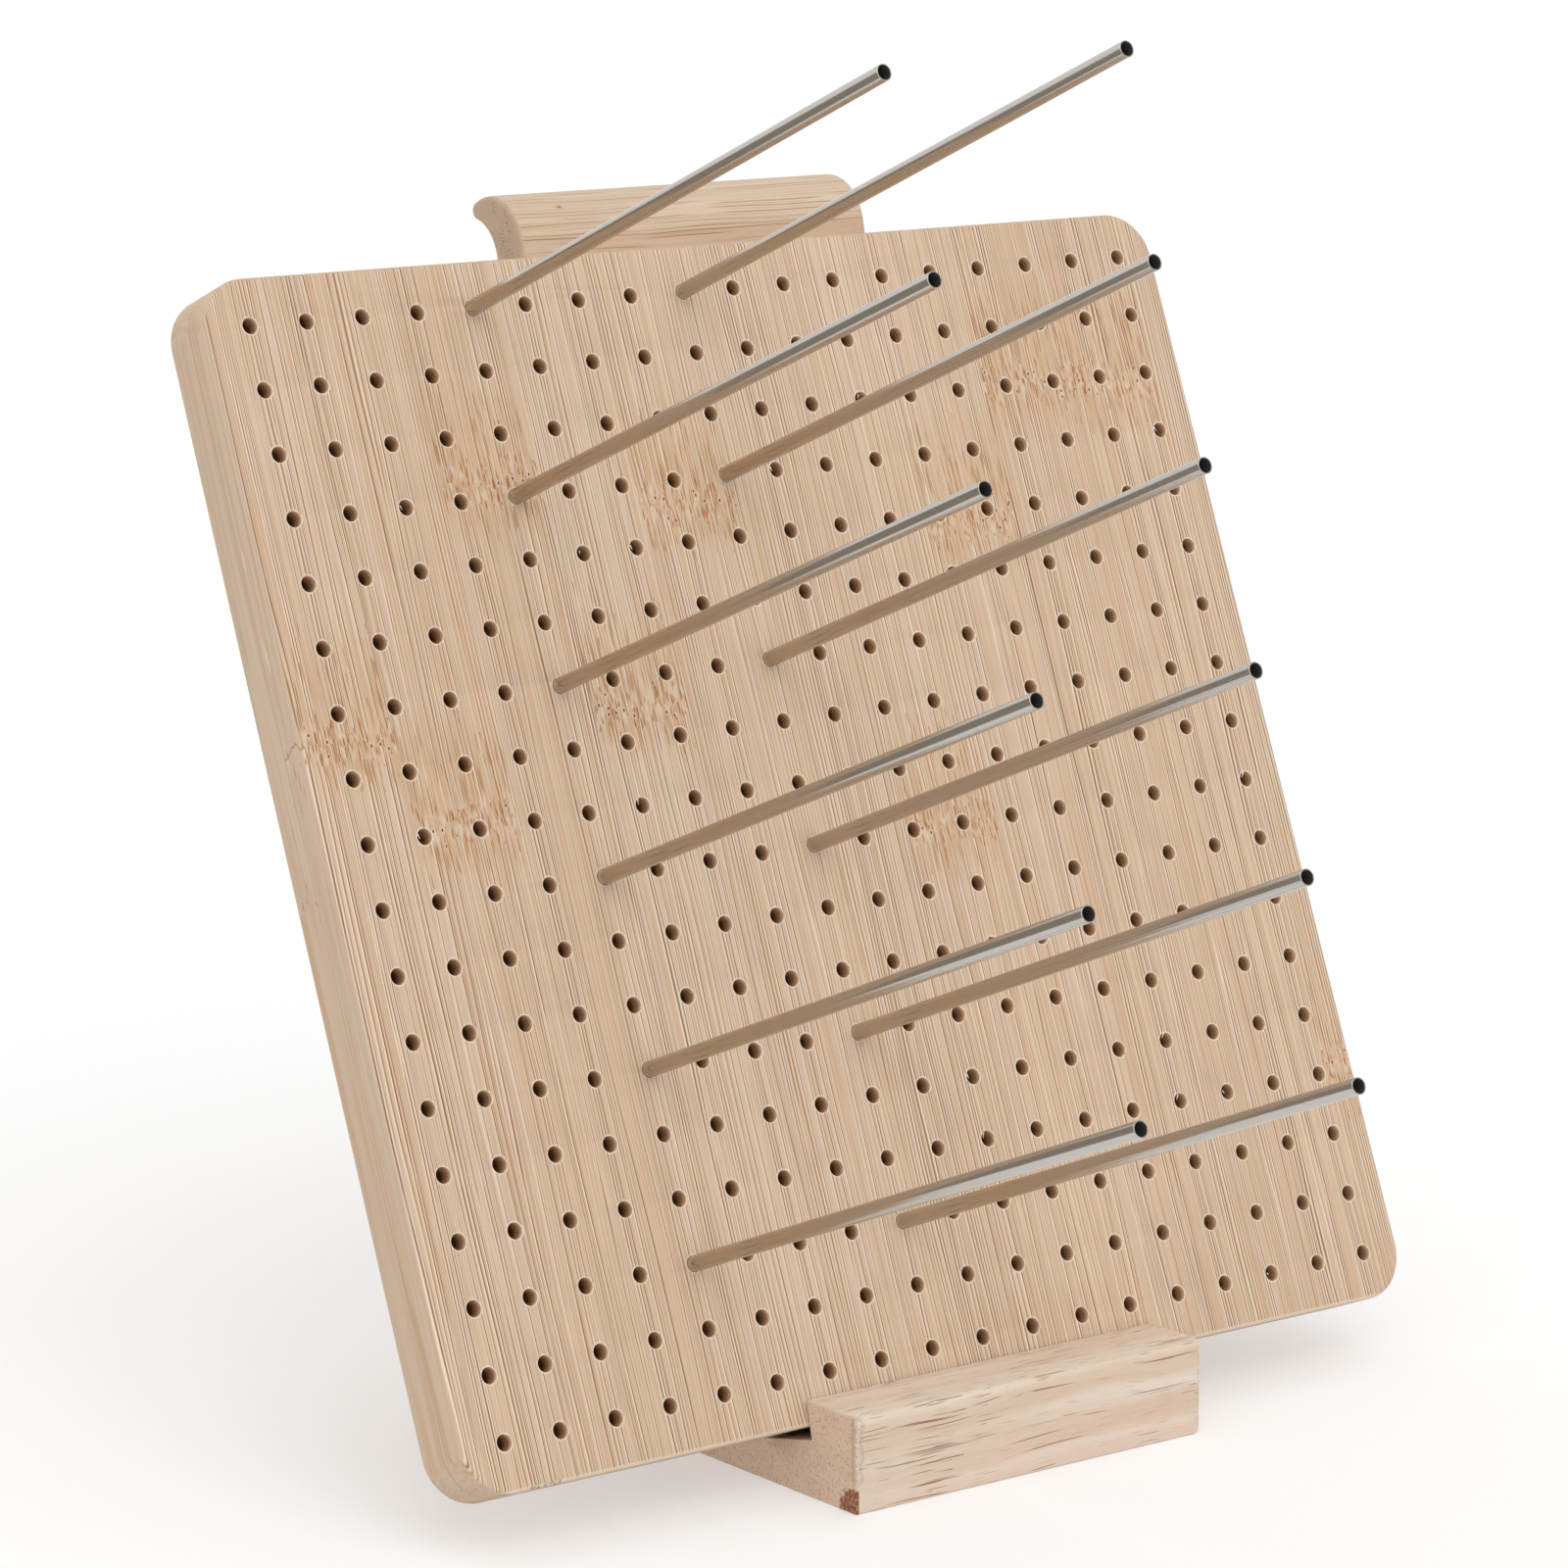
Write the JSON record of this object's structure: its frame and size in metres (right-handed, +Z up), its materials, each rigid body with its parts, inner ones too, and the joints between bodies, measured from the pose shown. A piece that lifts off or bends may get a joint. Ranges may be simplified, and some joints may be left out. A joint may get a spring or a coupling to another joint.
{
  "type": "blocking board",
  "caption": "Square bamboo board drilled with a grid of blind holes, leaning in a slotted wooden stand, with steel tubes plugged in to hold knitted squares in shape.",
  "frame": {"origin": "middle of the stand base's underside", "axes": "+Z up, the drilled face and the tubes towards -Y, +X to the right as the user sees the face"},
  "size_m": [0.235, 0.2373, 0.2793],
  "materials": {
    "board_bamboo": "sanded laminated bamboo, fine upright pinstripes, unvarnished",
    "base_wood": "planed pale hardwood with short dark pores, unvarnished",
    "backrest_bamboo": "sanded bamboo, the grain along the width, unvarnished",
    "tube_steel": "satin drawn stainless steel"
  },
  "bodies": {
    "stand": {"stand_base": "base_wood"},
    "backrest": {"backrest": "backrest_bamboo"},
    "board": {"board": "board_bamboo"},
    "tube_row_1_column_5": {"tube_row_1_column_5": "tube_steel"},
    "tube_row_1_column_9": {"tube_row_1_column_9": "tube_steel"},
    "tube_row_4_column_5": {"tube_row_4_column_5": "tube_steel"},
    "tube_row_4_column_9": {"tube_row_4_column_9": "tube_steel"},
    "tube_row_7_column_5": {"tube_row_7_column_5": "tube_steel"},
    "tube_row_7_column_9": {"tube_row_7_column_9": "tube_steel"},
    "tube_row_10_column_5": {"tube_row_10_column_5": "tube_steel"},
    "tube_row_10_column_9": {"tube_row_10_column_9": "tube_steel"},
    "tube_row_13_column_5": {"tube_row_13_column_5": "tube_steel"},
    "tube_row_13_column_9": {"tube_row_13_column_9": "tube_steel"},
    "tube_row_16_column_5": {"tube_row_16_column_5": "tube_steel"},
    "tube_row_16_column_9": {"tube_row_16_column_9": "tube_steel"}
  },
  "joints": [
    {"name": "board_lift", "type": "slide", "parent": "stand", "child": "board", "axis": [0, 0.2079, 0.9781], "range_m": [0, 0.04]},
    {"name": "backrest_lift", "type": "slide", "parent": "stand", "child": "backrest", "axis": [0, 0.2079, 0.9781], "range_m": [0, 0.03]},
    {"name": "tube_row_1_column_5_pull", "type": "slide", "parent": "board", "child": "tube_row_1_column_5", "axis": [0, -0.9272, 0.3746], "range_m": [0, 0.02]},
    {"name": "tube_row_1_column_9_pull", "type": "slide", "parent": "board", "child": "tube_row_1_column_9", "axis": [0, -0.9272, 0.3746], "range_m": [-0.0065, 0.0135]},
    {"name": "tube_row_4_column_5_pull", "type": "slide", "parent": "board", "child": "tube_row_4_column_5", "axis": [0, -0.9272, 0.3746], "range_m": [0, 0.02]},
    {"name": "tube_row_4_column_9_pull", "type": "slide", "parent": "board", "child": "tube_row_4_column_9", "axis": [0, -0.9272, 0.3746], "range_m": [0, 0.02]},
    {"name": "tube_row_7_column_5_pull", "type": "slide", "parent": "board", "child": "tube_row_7_column_5", "axis": [0, -0.9272, 0.3746], "range_m": [0, 0.02]},
    {"name": "tube_row_7_column_9_pull", "type": "slide", "parent": "board", "child": "tube_row_7_column_9", "axis": [0, -0.9272, 0.3746], "range_m": [0, 0.02]},
    {"name": "tube_row_10_column_5_pull", "type": "slide", "parent": "board", "child": "tube_row_10_column_5", "axis": [0, -0.9272, 0.3746], "range_m": [0, 0.02]},
    {"name": "tube_row_10_column_9_pull", "type": "slide", "parent": "board", "child": "tube_row_10_column_9", "axis": [0, -0.9272, 0.3746], "range_m": [0, 0.02]},
    {"name": "tube_row_13_column_5_pull", "type": "slide", "parent": "board", "child": "tube_row_13_column_5", "axis": [0, -0.9272, 0.3746], "range_m": [0, 0.02]},
    {"name": "tube_row_13_column_9_pull", "type": "slide", "parent": "board", "child": "tube_row_13_column_9", "axis": [0, -0.9272, 0.3746], "range_m": [0, 0.02]},
    {"name": "tube_row_16_column_5_pull", "type": "slide", "parent": "board", "child": "tube_row_16_column_5", "axis": [0, -0.9272, 0.3746], "range_m": [0, 0.02]},
    {"name": "tube_row_16_column_9_pull", "type": "slide", "parent": "board", "child": "tube_row_16_column_9", "axis": [0, -0.9272, 0.3746], "range_m": [0, 0.02]}
  ]
}
